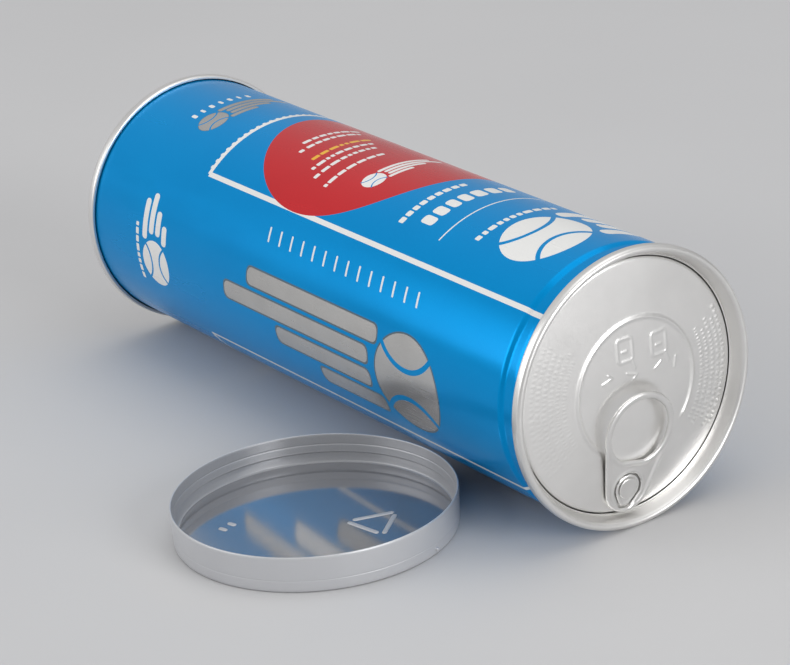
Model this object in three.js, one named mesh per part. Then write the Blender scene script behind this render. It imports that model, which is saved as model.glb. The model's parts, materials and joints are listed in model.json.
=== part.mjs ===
// A three-ball tennis can lying on its side, with its plastic overcap open side up beside it.
// Millimetres, +Z up. The can's axis runs along X with the ring-pull end at +X.
import * as THREE from "three";

const TAU = 2 * Math.PI;

// Can body: a tinplate cylinder closed by a double seam at each end.
const CAN_LENGTH = 213;
const SEAM_R = 38.1;
const BODY_R = 36.65;
const NECK_R = 35.85;
const SHEET = 0.3;
const SEAM_HEIGHT = 3;
const SEAM_ROUND = 0.55;
const CHUCK_TOP_R = 36.1;
const NECK_START = 10.5;
const NECK_END = 7.2;
const NECK_ROUND = 0.12;
const NECK_GROOVE = 4.3;
const FLANGE_R = 37.3;
const FLANGE_DEPTH = 1.2;
const BOTTOM_CURL_GAP = 0.4;
const TOP_CURL_GAP = 0.6;
const CAN_FACETS = 48;

// Seam compound: a ring of flat section between the flange and the crest of the seam.
const SEAL_IN_R = 36.75;
const SEAL_OUT_R = 37.45;
const SEAL_TOP = 0.52;
const SEAL_THICK = 0.3;

// Bottom end, measured from the crest of its seam inwards.
const BOTTOM_DEPTH = 3.4;
const BOTTOM_STEP = 0.6;
const BOTTOM_STEP_IN_R = 20;
const BOTTOM_STEP_OUT_R = 28;
const BOTTOM_STEP_RUN = 1;
const BOTTOM_GROOVE_DEPTH = 4.6;
const BOTTOM_GROOVE_IN_R = 34.3;
const BOTTOM_GROOVE_OUT_R = 35.3;

// Ring-pull end, measured from the crest of its seam inwards.
const PANEL_DEPTH = 4;
const PANEL_R = 34.3;
const PANEL_DOME = 2.2;
const SCORE_GAP = 0.3;
const RIM_GROOVE_R = 34.9;
const RIM_GROOVE_OUT_R = 35.15;
const RIM_GROOVE = 0.4;
const BEAD_R = 19;
const BEAD_HALF = 0.9;
const BEAD_RISE = 0.4;
const BEAD_SHIFT_X = -1.5;
const BEAD_SHIFT_Z = -0.6;
const LID_TURN = THREE.MathUtils.degToRad(-7.6);

// Pull tab, measured from the axis it turns about in its nose.
const TAB_THICK = 1.1;
const TAB_TILT = THREE.MathUtils.degToRad(7);
const TAB_TWIST = THREE.MathUtils.degToRad(-5);
const TAB_NOSE_R = 33.65;
const TAB_NOSE_DEPTH = 2.9;
const NOSE_CIRCLE_R = 7.3;
const NOSE_CIRCLE_U = NOSE_CIRCLE_R - TAB_THICK / 2;
const RING_U = 22.4;
const RING_R = 11.1;
const RING_HOLE_R = 9.1;
const RING_FLAT_U = 14.2;
const TAB_EDGE_ROUND = 0.35;
const RIVET_U = 6.3;
const RIVET_HEAD_R = 2.9;
const RIVET_HEAD_ROUND = 0.15;
const RIVET_HEAD_THICK = 0.45;
const RIVET_STEM_R = 1.6;
const RIVET_FOOT_R = 2.4;
const RIVET_FOOT_THICK = 0.25;
const RIVET_GAP = 0.1;
const RIVET_LIFT = 0.75;
const RIVET_FACETS = 20;
const TONGUE_R = 3.9;
const TONGUE_NECK = 2;
const TONGUE_END_U = 1.7;
const TONGUE_THICK = 0.4;
const TONGUE_SINK = 0.35;
const TONGUE_HOLE_R = 1.9;
const SLOT_GAP = 0.35;

// Overcap: a shallow plastic lid that snaps over a seam.
const CAP_RIM_R = 38.2;
const CAP_RIM_THICK = 0.65;
const CAP_RIM_ROUND = 0.25;
const CAP_FOOT_R = 37.78;
const CAP_FOOT_ROUND = 0.5;
const CAP_FOOT_IN_R = 34.4;
const CAP_HEIGHT = 10.1;
const CAP_FLOOR_TOP = 1.6;
const CAP_FLOOR = 0.8;
const CAP_SNAP_Z = 4.7;
const CAP_SNAP_R = 37.15;
const CAP_SNAP_RUN = 0.35;
const CAP_SNAP_TOP = 0.9;
const CAP_POCKET_R = 37.4;
const CAP_POCKET_DRAFT = 0.3;
const CAP_X = 47.5;
const CAP_Y = -62.7;

// Balls: two rubber half shells under two felt panels with a glued seam between them.
const BALL_R = 33.3;
const FELT_THICK = 2.9;
const CORE_R = 29.4;
const CORE_THICK = 3.4;
const CORE_GAP = 0.3;
const BALL_STEP = 68.1;
const BALL_SHIFT = 0.6;
const BALL_WALL_GAP = 0.3;
const GLUE_HALF_WIDTH = 1;
const GLUE_CLEARANCE = 0.35;
const GLUE_TOP_R = 32.6;
const GLUE_BOTTOM_R = 30.3;
const FELT_STEPS = 22;
const FELT_ROWS = 4;
const GLUE_STEPS = 44;
const CORE_FACETS = 20;
const CORE_RINGS = 4;
// The seam curve x = A cos t + B cos 3t, y = A sin t - B sin 3t, z = C sin 2t lies on a unit sphere.
const CURVE_A = 0.75;
const CURVE_B = 0.25;
const CURVE_C = 2 * Math.sqrt(CURVE_A * CURVE_B);

const PLATED = { color: 0xc9c7c4, roughness: 0.32, metalness: 1 };
const ALUMINIUM = { color: 0xd6d5d3, roughness: 0.3, metalness: 1 };
const PRINTED = { color: 0x0078b8, roughness: 0.3, metalness: 0.25 };
const COMPOUND = { color: 0x8f9488, roughness: 0.8, metalness: 0 };
const PLASTIC = { color: 0xb4b5b8, roughness: 0.35, metalness: 0.4 };
const RUBBER = { color: 0x4a4a48, roughness: 0.85, metalness: 0 };
const FELT = { color: 0xd3ea3a, roughness: 1, metalness: 0 };
const GLUE = { color: 0xe6e8dc, roughness: 0.7, metalness: 0 };

function named(name, geometry, look) {
  const mesh = new THREE.Mesh(geometry, new THREE.MeshStandardMaterial(look));
  mesh.name = name;
  return mesh;
}

function group(name, ...children) {
  const result = new THREE.Group();
  result.name = name;
  result.add(...children);
  return result;
}

// Turns an outline of [radius, height] pairs about the Y axis, with a facet, not an edge, facing -Z.
function turned(outline, facets) {
  const next = (i) => outline[(i + 1) % outline.length];
  const doubleArea = outline.reduce((sum, [r, y], i) => sum + r * next(i)[1] - next(i)[0] * y, 0);
  const ordered = doubleArea > 0 ? outline : [...outline].reverse();
  const points = ordered.map(([r, y]) => new THREE.Vector2(r, y));
  const onAxis = ordered.findIndex(([r], i) => r === 0 && next(i)[0] === 0);
  if (onAxis < 0) {
    points.push(points[0].clone());
  } else {
    points.push(...points.splice(0, onAxis + 1));
  }
  return new THREE.LatheGeometry(points, facets, Math.PI / facets);
}

// The outline of a sheet of even thickness that follows the middle line given.
function sheet(middle, thickness = SHEET) {
  const left = [];
  const right = [];
  middle.forEach(([r, y], i) => {
    const [r0, y0] = middle[Math.max(i - 1, 0)];
    const [r1, y1] = middle[Math.min(i + 1, middle.length - 1)];
    const before = new THREE.Vector2(r - r0, y - y0).normalize();
    const after = new THREE.Vector2(r1 - r, y1 - y).normalize();
    const along = before.add(after).normalize();
    const turn = Math.max(along.dot(after.length() > 0 ? after : along), 0.5);
    const half = r === 0 ? [0, thickness / 2] : [-along.y, along.x].map((v) => (v * thickness) / 2 / turn);
    left.push([r + half[0], y + half[1]]);
    right.push([r - half[0], y - half[1]]);
  });
  return [...left, ...right.reverse()];
}

// Middle line of an end from the top of its chuck wall over the seam's crest to the curl under it.
function seamLine(curlR) {
  const outer = SEAM_R - SHEET / 2;
  return [
    [CHUCK_TOP_R, SHEET / 2 + SEAM_ROUND],
    [CHUCK_TOP_R + SEAM_ROUND, SHEET / 2],
    [outer - SEAM_ROUND, SHEET / 2],
    [outer, SHEET / 2 + SEAM_ROUND],
    [outer, SEAM_HEIGHT - SHEET / 2],
    [curlR, SEAM_HEIGHT - SHEET / 2],
  ];
}

// Outlines drawn downwards from a crest are stood on the can: +1 for the ring-pull end, -1 for the bottom.
function atEnd(outline, end) {
  return outline.map(([r, depth]) => [r, end * (CAN_LENGTH / 2 - depth)]);
}

function canBody() {
  const wall = BODY_R - SHEET / 2;
  const neck = NECK_R - SHEET / 2;
  const flange = [FLANGE_R, FLANGE_DEPTH];
  const bottom = [flange, [wall, FLANGE_DEPTH + NECK_ROUND]];
  const top = [
    [wall, NECK_START],
    [wall - NECK_ROUND, NECK_START - 1.2],
    [neck + NECK_ROUND, NECK_END + 1],
    [neck, NECK_END],
    [neck - NECK_ROUND, NECK_GROOVE + 0.7],
    [neck, NECK_GROOVE],
    [neck + 2 * NECK_ROUND, SEAM_HEIGHT],
    [FLANGE_R - SEAM_ROUND, FLANGE_DEPTH + NECK_ROUND],
    flange,
  ];
  return named("can_body", turned(sheet([...atEnd(bottom, -1), ...atEnd(top, 1)]), CAN_FACETS), PRINTED);
}

function bottomEnd() {
  const line = [
    [0, BOTTOM_DEPTH],
    [BOTTOM_STEP_IN_R - BOTTOM_STEP_RUN / 2, BOTTOM_DEPTH],
    [BOTTOM_STEP_IN_R + BOTTOM_STEP_RUN / 2, BOTTOM_DEPTH + BOTTOM_STEP],
    [BOTTOM_STEP_OUT_R - BOTTOM_STEP_RUN / 2, BOTTOM_DEPTH + BOTTOM_STEP],
    [BOTTOM_STEP_OUT_R + BOTTOM_STEP_RUN / 2, BOTTOM_DEPTH],
    [BOTTOM_GROOVE_IN_R - BOTTOM_STEP_RUN, BOTTOM_DEPTH],
    [BOTTOM_GROOVE_IN_R, BOTTOM_GROOVE_DEPTH],
    [BOTTOM_GROOVE_OUT_R, BOTTOM_GROOVE_DEPTH],
    ...seamLine(BODY_R + BOTTOM_CURL_GAP),
  ];
  return named("bottom_end", turned(atEnd(sheet(line), -1), CAN_FACETS), PLATED);
}

function endRing() {
  const line = [
    [PANEL_R + SCORE_GAP, PANEL_DEPTH],
    [RIM_GROOVE_R, PANEL_DEPTH + RIM_GROOVE],
    [RIM_GROOVE_OUT_R, PANEL_DEPTH],
    ...seamLine(NECK_R + TOP_CURL_GAP),
  ];
  return named("end_ring", turned(atEnd(sheet(line), 1), CAN_FACETS), PLATED);
}

function sealRing(name, end) {
  const outline = [
    [SEAL_IN_R, SEAL_TOP],
    [SEAL_OUT_R, SEAL_TOP],
    [SEAL_OUT_R, SEAL_TOP + SEAL_THICK],
    [SEAL_IN_R, SEAL_TOP + SEAL_THICK],
  ];
  return named(name, turned(atEnd(outline, end), CAN_FACETS), COMPOUND);
}

function panelDepth(r) {
  return PANEL_DEPTH - PANEL_DOME * (1 - (r / PANEL_R) ** 2);
}

// The bead's circle sits off the panel's centre: the shift fades out towards the panel's edge.
function tearPanel() {
  const edge = PANEL_R - 1;
  const beadOut = BEAD_R + BEAD_HALF;
  const radii = [0, 8, 14, BEAD_R - BEAD_HALF, BEAD_R, beadOut, 25, 30, edge, PANEL_R];
  const line = radii.map((r) => [r, panelDepth(r) - (r === BEAD_R ? BEAD_RISE : 0)]);
  const geometry = turned(atEnd(sheet(line), 1), CAN_FACETS);
  const spots = geometry.attributes.position;
  for (let i = 0; i < spots.count; i += 1) {
    const r = Math.hypot(spots.getX(i), spots.getZ(i));
    const share = THREE.MathUtils.clamp((edge - r) / (edge - beadOut), 0, 1);
    spots.setX(i, spots.getX(i) + BEAD_SHIFT_X * share);
    spots.setZ(i, spots.getZ(i) + BEAD_SHIFT_Z * share);
  }
  return named("tear_panel", geometry, ALUMINIUM);
}

// Flat shapes on the tab are drawn with x across the tab and y along it, from the nose to the ring.
function tabOutline() {
  const lean = Math.asin((RING_R - NOSE_CIRCLE_R) / (RING_U - NOSE_CIRCLE_U));
  const shape = new THREE.Shape();
  shape.absarc(0, RING_U, RING_R - TAB_EDGE_ROUND, -lean, Math.PI + lean);
  shape.absarc(0, NOSE_CIRCLE_U, NOSE_CIRCLE_R - TAB_EDGE_ROUND, Math.PI + lean, TAU - lean);
  return shape;
}

function ringHole() {
  const reach = Math.asin((RING_U - RING_FLAT_U) / RING_HOLE_R);
  const path = new THREE.Path();
  path.absarc(0, RING_U, RING_HOLE_R + TAB_EDGE_ROUND, -reach, Math.PI + reach);
  return path;
}

// A keyhole shape: a disc round the rivet with a neck that runs to the nose.
function keyhole(shape, radius, neck, endU) {
  const side = Math.asin(neck / radius);
  shape.absarc(0, RIVET_U, radius, side - Math.PI / 2, 1.5 * Math.PI - side);
  shape.lineTo(-neck, endU);
  shape.lineTo(neck, endU);
  return shape;
}

// Stands a flat shape on the tab: thickness along Y from the height given, nose at -Z.
function plate(shape, thickness, height, curveSegments, round = 0) {
  const geometry = new THREE.ExtrudeGeometry(shape, {
    depth: thickness - 2 * round,
    bevelEnabled: round > 0,
    bevelThickness: round,
    bevelSize: round,
    bevelSegments: 1,
    curveSegments,
  });
  geometry.translate(0, 0, height + round);
  geometry.rotateX(Math.PI / 2);
  geometry.rotateZ(Math.PI);
  return geometry;
}

function pullTab() {
  const shape = tabOutline();
  shape.holes.push(ringHole());
  const grow = SLOT_GAP + TAB_EDGE_ROUND;
  shape.holes.push(keyhole(new THREE.Path(), TONGUE_R + grow, TONGUE_NECK + grow, TONGUE_END_U - grow));
  return named("pull_tab", plate(shape, TAB_THICK, -TAB_THICK / 2, 14, TAB_EDGE_ROUND), ALUMINIUM);
}

function tabTongue() {
  const shape = keyhole(new THREE.Shape(), TONGUE_R, TONGUE_NECK, TONGUE_END_U);
  const hole = new THREE.Path();
  hole.absarc(0, RIVET_U, TONGUE_HOLE_R, 0, TAU);
  shape.holes.push(hole);
  return named("tab_tongue", plate(shape, TONGUE_THICK, -TONGUE_SINK, 10), ALUMINIUM);
}

function tabRivet() {
  const headBase = TONGUE_THICK - TONGUE_SINK + RIVET_GAP;
  const outline = [
    [0, -RIVET_LIFT],
    [RIVET_FOOT_R, -RIVET_LIFT],
    [RIVET_STEM_R, -RIVET_LIFT + RIVET_FOOT_THICK],
    [RIVET_STEM_R, headBase],
    [RIVET_HEAD_R, headBase],
    [RIVET_HEAD_R - RIVET_HEAD_ROUND, headBase + RIVET_HEAD_THICK - RIVET_HEAD_ROUND],
    [0, headBase + RIVET_HEAD_THICK],
  ];
  const rivet = named("tab_rivet", turned(outline, RIVET_FACETS), ALUMINIUM);
  rivet.position.z = RIVET_U;
  return rivet;
}

// The tab and its rivet stand on the domed panel, tilted with it and turned a little about the nose.
function tabGroup() {
  const tab = group("tab", pullTab(), tabTongue(), tabRivet());
  tab.position.set(0, CAN_LENGTH / 2 - TAB_NOSE_DEPTH, -TAB_NOSE_R);
  tab.rotation.set(-TAB_TILT, TAB_TWIST, 0, "YXZ");
  return tab;
}

function can() {
  const lid = group("lid", tabGroup());
  lid.rotation.y = LID_TURN;
  const parts = [canBody(), bottomEnd(), sealRing("bottom_seal", -1), endRing(), sealRing("top_seal", 1)];
  const whole = group("can", ...parts, tearPanel(), lid);
  whole.rotation.z = -Math.PI / 2;
  return whole;
}

function overcap() {
  const rimIn = CAP_RIM_R - CAP_RIM_THICK;
  const underside = CAP_FLOOR_TOP - CAP_FLOOR;
  const outline = [
    [0, underside],
    [CAP_FOOT_IN_R - underside, underside],
    [CAP_FOOT_IN_R, 0],
    [CAP_FOOT_R - CAP_FOOT_ROUND, 0],
    [CAP_FOOT_R, CAP_FOOT_ROUND],
    [CAP_RIM_R, CAP_HEIGHT - CAP_RIM_ROUND],
    [CAP_RIM_R - CAP_RIM_ROUND, CAP_HEIGHT],
    [rimIn + CAP_RIM_ROUND, CAP_HEIGHT],
    [rimIn, CAP_HEIGHT - CAP_RIM_ROUND],
    [CAP_SNAP_R + CAP_RIM_ROUND / 2, CAP_SNAP_Z + CAP_SNAP_TOP],
    [CAP_SNAP_R, CAP_SNAP_Z + CAP_SNAP_RUN],
    [CAP_POCKET_R, CAP_SNAP_Z],
    [CAP_POCKET_R - CAP_POCKET_DRAFT, CAP_FLOOR_TOP],
    [0, CAP_FLOOR_TOP],
  ];
  const geometry = turned(outline, CAN_FACETS);
  geometry.rotateX(Math.PI / 2);
  const cap = named("overcap", geometry, PLASTIC);
  cap.position.set(CAP_X, CAP_Y, 0);
  return cap;
}

// A point of the seam curve, moved aside along the ball by the angle given.
function seamPoint(t, aside) {
  const point = new THREE.Vector3(
    CURVE_A * Math.cos(t) + CURVE_B * Math.cos(3 * t),
    CURVE_A * Math.sin(t) - CURVE_B * Math.sin(3 * t),
    CURVE_C * Math.sin(2 * t),
  );
  const along = new THREE.Vector3(
    -CURVE_A * Math.sin(t) - 3 * CURVE_B * Math.sin(3 * t),
    CURVE_A * Math.cos(t) - 3 * CURVE_B * Math.cos(3 * t),
    2 * CURVE_C * Math.cos(2 * t),
  ).normalize();
  const side = point.clone().cross(along).normalize();
  return point.multiplyScalar(Math.cos(aside)).addScaledVector(side, Math.sin(aside));
}

function solidFrom(positions, faces) {
  const geometry = new THREE.BufferGeometry();
  geometry.setAttribute("position", new THREE.Float32BufferAttribute(positions.flatMap((p) => p.toArray()), 3));
  geometry.setIndex(faces);
  geometry.computeVertexNormals();
  return geometry;
}

// One dog-bone panel: arcs across the bone, from one lobe's tip to the other's, in an outer and an inner skin.
function feltGeometry() {
  const inset = (GLUE_HALF_WIDTH + GLUE_CLEARANCE) / BALL_R;
  const tip = -Math.PI / 4;
  const positions = [];
  const rings = [];
  [BALL_R, BALL_R - FELT_THICK].forEach((radius) => {
    for (let i = 0; i <= FELT_STEPS; i += 1) {
      const t = tip + (Math.PI * i) / FELT_STEPS;
      const from = seamPoint(t, inset);
      const to = seamPoint(-Math.PI / 2 - t, inset);
      const atTip = i === 0 || i === FELT_STEPS;
      const turn = new THREE.Quaternion().setFromUnitVectors(from, to);
      const row = [];
      for (let j = 0; j <= (atTip ? 0 : FELT_ROWS); j += 1) {
        const part = new THREE.Quaternion().slerp(turn, j / FELT_ROWS);
        row.push(positions.push(from.clone().applyQuaternion(part).multiplyScalar(radius)) - 1);
      }
      rings.push(row);
    }
  });
  const faces = [];
  const outer = rings.slice(0, FELT_STEPS + 1);
  const inner = rings.slice(FELT_STEPS + 1);
  const at = (row, j) => row[Math.min(j, row.length - 1)];
  const quad = (a, b, c, d) => {
    if (a !== b && b !== c && a !== c) faces.push(a, b, c);
    if (a !== c && c !== d && a !== d) faces.push(a, c, d);
  };
  for (let i = 0; i < FELT_STEPS; i += 1) {
    for (let j = 0; j < FELT_ROWS; j += 1) {
      quad(at(outer[i], j), at(outer[i + 1], j), at(outer[i + 1], j + 1), at(outer[i], j + 1));
      quad(at(inner[i], j), at(inner[i], j + 1), at(inner[i + 1], j + 1), at(inner[i + 1], j));
    }
    [0, FELT_ROWS].forEach((j) => {
      const edge = [at(outer[i], j), at(inner[i], j), at(inner[i + 1], j), at(outer[i + 1], j)];
      quad(...(j === 0 ? edge : edge.reverse()));
    });
  }
  return solidFrom(positions, faces);
}

// The glue line between the felts: a rectangular strip that follows the seam curve round the ball.
function stripGeometry() {
  const positions = [];
  const faces = [];
  const half = GLUE_HALF_WIDTH / BALL_R;
  for (let i = 0; i < GLUE_STEPS; i += 1) {
    const t = (TAU * i) / GLUE_STEPS;
    positions.push(seamPoint(t, -half).multiplyScalar(GLUE_TOP_R));
    positions.push(seamPoint(t, half).multiplyScalar(GLUE_TOP_R));
    positions.push(seamPoint(t, half).multiplyScalar(GLUE_BOTTOM_R));
    positions.push(seamPoint(t, -half).multiplyScalar(GLUE_BOTTOM_R));
  }
  for (let i = 0; i < GLUE_STEPS; i += 1) {
    const here = 4 * i;
    const next = 4 * ((i + 1) % GLUE_STEPS);
    for (let k = 0; k < 4; k += 1) {
      const m = (k + 1) % 4;
      faces.push(here + k, here + m, next + m);
      faces.push(here + k, next + m, next + k);
    }
  }
  return solidFrom(positions, faces);
}

// Half a rubber core, its mouth just clear of the other half.
function coreHalf() {
  const quarter = (radius) => {
    const arc = [[radius, CORE_GAP / 2]];
    for (let i = 1; i < CORE_RINGS; i += 1) {
      const a = (TAU / 4) * (i / CORE_RINGS);
      arc.push([radius * Math.cos(a), radius * Math.sin(a)]);
    }
    return [...arc, [0, radius]];
  };
  return turned([...quarter(CORE_R), ...quarter(CORE_R - CORE_THICK).reverse()], CORE_FACETS);
}

// Turns every face of a closed surface over if it was wound inside out.
function outward(geometry) {
  const spots = geometry.toNonIndexed().attributes.position;
  const corner = [0, 1, 2].map(() => new THREE.Vector3());
  let volume = 0;
  for (let i = 0; i < spots.count; i += 3) {
    corner.forEach((v, k) => v.fromBufferAttribute(spots, i + k));
    volume += corner[0].dot(corner[1].clone().cross(corner[2]));
  }
  if (volume < 0) {
    const index = geometry.index;
    for (let i = 0; i < index.count; i += 3) {
      const swap = index.getX(i);
      index.setX(i, index.getX(i + 1));
      index.setX(i + 1, swap);
    }
  }
  return geometry;
}

function ball(number) {
  const half = coreHalf();
  const felt = outward(feltGeometry());
  const left = named(`ball_${number}_core_left`, half, RUBBER);
  const right = named(`ball_${number}_core_right`, half.clone(), RUBBER);
  right.rotation.x = Math.PI;
  const feltA = named(`ball_${number}_felt_a`, felt, FELT);
  const feltB = named(`ball_${number}_felt_b`, felt.clone(), FELT);
  feltB.rotation.x = Math.PI;
  const glue = named(`ball_${number}_glue_seam`, outward(stripGeometry()), GLUE);
  const whole = group(`ball_${number}`, left, right, feltA, feltB, glue);
  whole.rotation.set(0.5 * number, 0.9 - 1.3 * number, 0.4 * number);
  const drop = BODY_R - SHEET - BALL_R - BALL_WALL_GAP;
  whole.position.set(BALL_SHIFT + (2 - number) * BALL_STEP, 0, -drop);
  return whole;
}

// The frame's origin is the middle of the footprint of the can and its cap, on the surface they lie on.
const axisHeight = SEAM_R * Math.cos(Math.PI / CAN_FACETS);
const lying = group("lying", can(), ball(1), ball(2), ball(3));
lying.position.z = axisHeight;
const part = group("tennis_ball_can", lying, overcap());
part.updateMatrixWorld(true);
const box = new THREE.Box3().setFromObject(part, true);
const middle = box.getCenter(new THREE.Vector3());
part.children.forEach((child) => {
  child.position.x -= middle.x;
  child.position.y -= middle.y;
});

export default part;
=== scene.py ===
"""A three-ball tennis can on its side, its silver overcap beside it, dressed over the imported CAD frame."""

import json
import math
import random

import bpy
import numpy as np
from mathutils import Matrix, Vector, geometry


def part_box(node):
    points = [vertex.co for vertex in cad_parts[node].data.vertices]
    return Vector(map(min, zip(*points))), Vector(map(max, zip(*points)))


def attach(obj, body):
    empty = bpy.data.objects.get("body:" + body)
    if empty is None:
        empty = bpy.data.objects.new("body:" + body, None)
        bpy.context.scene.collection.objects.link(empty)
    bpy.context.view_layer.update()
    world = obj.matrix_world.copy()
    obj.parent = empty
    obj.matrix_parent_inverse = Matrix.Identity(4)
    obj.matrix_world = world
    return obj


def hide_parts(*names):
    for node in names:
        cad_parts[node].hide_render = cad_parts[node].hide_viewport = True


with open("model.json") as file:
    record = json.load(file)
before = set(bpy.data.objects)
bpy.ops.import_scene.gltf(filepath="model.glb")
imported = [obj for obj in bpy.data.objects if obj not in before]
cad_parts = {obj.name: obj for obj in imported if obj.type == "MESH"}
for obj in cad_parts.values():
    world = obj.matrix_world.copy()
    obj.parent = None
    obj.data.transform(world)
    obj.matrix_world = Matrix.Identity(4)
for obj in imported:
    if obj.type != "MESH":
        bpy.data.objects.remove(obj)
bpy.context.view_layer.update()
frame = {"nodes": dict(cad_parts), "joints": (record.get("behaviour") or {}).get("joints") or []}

MM = 0.001

# Can, in millimetres. Depths are measured from the crest of the ring-pull seam inwards.
BODY_R = 36.65
NECK_R = 35.85
SHEET = 0.3
NECK_START = 10.5
NECK_END = 8.6
NECK_GROOVE = 5.0
GROOVE_DEPTH = 0.12
GROOVE_HALF = 0.6
FLANGE_DEPTH = 1.2
FLANGE_RISE = 0.6
FLANGE_REACH = 2.0
FLANGE_RUN = 0.8
TOP_FLANGE_RISE = 1.2
TOP_FLANGE_REACH = 3.2
TOP_FLANGE_RUN = 2.0
TURN_STEPS = 288

# Print. Angles run round the can in degrees: 90 is its top and 180 faces the overcap.
PRINT_LINE = 1.5
FRAME_X = -53.0
FRAME_TOP = 133.6
FRAME_LOW = 215.5
SCALLOP_STEP = 2.3
SCALLOP_R = 0.62
RED_X = -9.6
RED_ANGLE = 76
RED_R = 37.4
RED_ROWS_X = (-31, -27.4, -20, -15.8, -11.6, -5)
YELLOW_ROW = 2
STROKES = 14
STROKE_STEP = 5.4
BACK_ROWS = 8
BACK_ROW_STEP = 8.4

# Ring-pull end.
PANEL_DEPTH = 4.0
PANEL_R = 34.3
PANEL_DOME = 2.2
SCORE_GAP = 0.3
BEAD_R = 19.0
BEAD_CENTRE = (1.5, -0.6)
BEAD_RISE = 0.42
BEAD_HALF = 0.5
BEAD_OPEN = (math.radians(-130), math.radians(-44))
BEAD_FADE = 0.12
WELL_CENTRE = (-0.6, -9.0)
WELL_HALF = (12.5, 11.5)
WELL_LINE = 0.9
WELL_DEPTH = 0.5
WELL_EDGE = 0.04
RIM_DIP = 0.5
RIM_DIP_WIDTH = 0.9
PANEL_SHEET = 0.2
# Blocks of pressed marks: middle and half span in degrees, rise, and the radii of the rows.
MARK_BLOCKS = (
    (178, 40, 0.035, (21.6, 23.6, 25.6, 27.6, 29.6, 31.4)),
    (-7, 34, 0.15, (24.0, 26.0, 28.0, 30.0, 31.8)),
)
PICTURE_RISE = 0.17
PICTURE_CENTRES = ((-1.8, 10.9), (9.4, 9.7))
PICTURE_HALF = (1.5, 2.2)
PICTURE_CORNER = 0.9
PICTURE_STROKES = (
    ((-9.5, 3.6), (-6.4, 4.6)), ((-1.6, 4.4), (1.6, 3.4)), ((7.6, 3.2), (9.8, 4.6)),
    ((14.2, 1.6), (14.8, 4.4)), ((-6.4, 4.6), (-7.6, 5.6)), ((1.6, 3.4), (0.4, 2.4)),
)
PANEL_RINGS = 120
PANEL_STEPS = 720

# Pull tab: u runs from the nose's fold to the ring.
TAB_TILT = math.radians(7)
TAB_HALF = 0.55
TAB_CURL = 0.75
WEB_SINK = 0.33
WEB_START = 1.05
WEB_RUN = 0.6
NOSE_R = 7.3
NOSE_U = NOSE_R - TAB_HALF
RING_U = 22.4
RING_R = 11.1
RING_HOLE_R = 9.1
RING_FLAT_U = 14.2
RIVET_U = 6.3
TONGUE_R = 3.9
TONGUE_NECK = 1.2
TONGUE_END_U = 1.2
TONGUE_HOLE_R = 1.9
TONGUE_LEAN = math.radians(-22)
TONGUE_DROP = 0.15
SLOT_GAP = 0.35

# Balls.
BALL_R = 33.3
FELT_THICK = 2.9
FELT_SUNK = 0.14
FELT_FLUFF = 0.06
FELT_ROLL = 0.75
FELT_ROLL_REACH = 0.8
FELT_TIP = 40
GLUE_HALF_WIDTH = 1.0
GLUE_TOP_R = 32.6
GLUE_BOTTOM_R = 30.3
CURVE_A = 0.75
CURVE_B = 0.25
CURVE_C = 2 * math.sqrt(CURVE_A * CURVE_B)

# Overcap.
CAP_RIM_R = 38.2
CAP_FOOT_R = 37.78
CAP_FOOT_IN_R = 34.4
CAP_HEIGHT = 10.1
CAP_FLOOR_TOP = 1.8
CAP_FLOOR_R = 34.0
CAP_DISH = 0.4
CAP_FLOOR_THICK = 0.9
CAP_SNAP_Z = 4.7
CAP_SNAP_R = 37.15
CAP_POCKET_R = 37.4
CAP_TRIANGLE = (11.1, 11.2)
CAP_TRIANGLE_R = 8.0
CAP_BAR_WIDTH = 1.5

# Camera, relative to the middle of the can.
CAMERA_OFFSET = Vector((0.68046, -0.45354, 0.31765))
CAMERA_AZIMUTH = math.radians(56.400)
CAMERA_ELEVATION = math.radians(22.125)
CAMERA_ROLL = math.radians(-4.767)
CAMERA_LENS = 142.393

crest_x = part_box("end_ring")[1].x
bottom_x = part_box("bottom_end")[0].x
body_low, body_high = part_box("can_body")
ring_low, ring_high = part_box("end_ring")
body_middle = (body_low + body_high) / 2
can_middle = Vector(((crest_x + bottom_x) / 2, body_middle.y, body_middle.z))
HALF_LENGTH = (crest_x - bottom_x) / 2 / MM
SEAM_R = (ring_high.z - ring_low.z) / 2 / MM
BODY_START = -HALF_LENGTH + FLANGE_DEPTH
BODY_END = HALF_LENGTH - FLANGE_DEPTH
STRAIGHT_END = HALF_LENGTH - NECK_START - 0.5


# ---- shading helpers


def shade(hex_colour):
    """An sRGB colour such as 'c9c7c4' as linear red, green, blue and alpha."""
    values = [int(hex_colour[i : i + 2], 16) / 255 for i in (0, 2, 4)]
    linear = [v / 12.92 if v <= 0.04045 else ((v + 0.055) / 1.055) ** 2.4 for v in values]
    return (*linear, 1.0)


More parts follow.
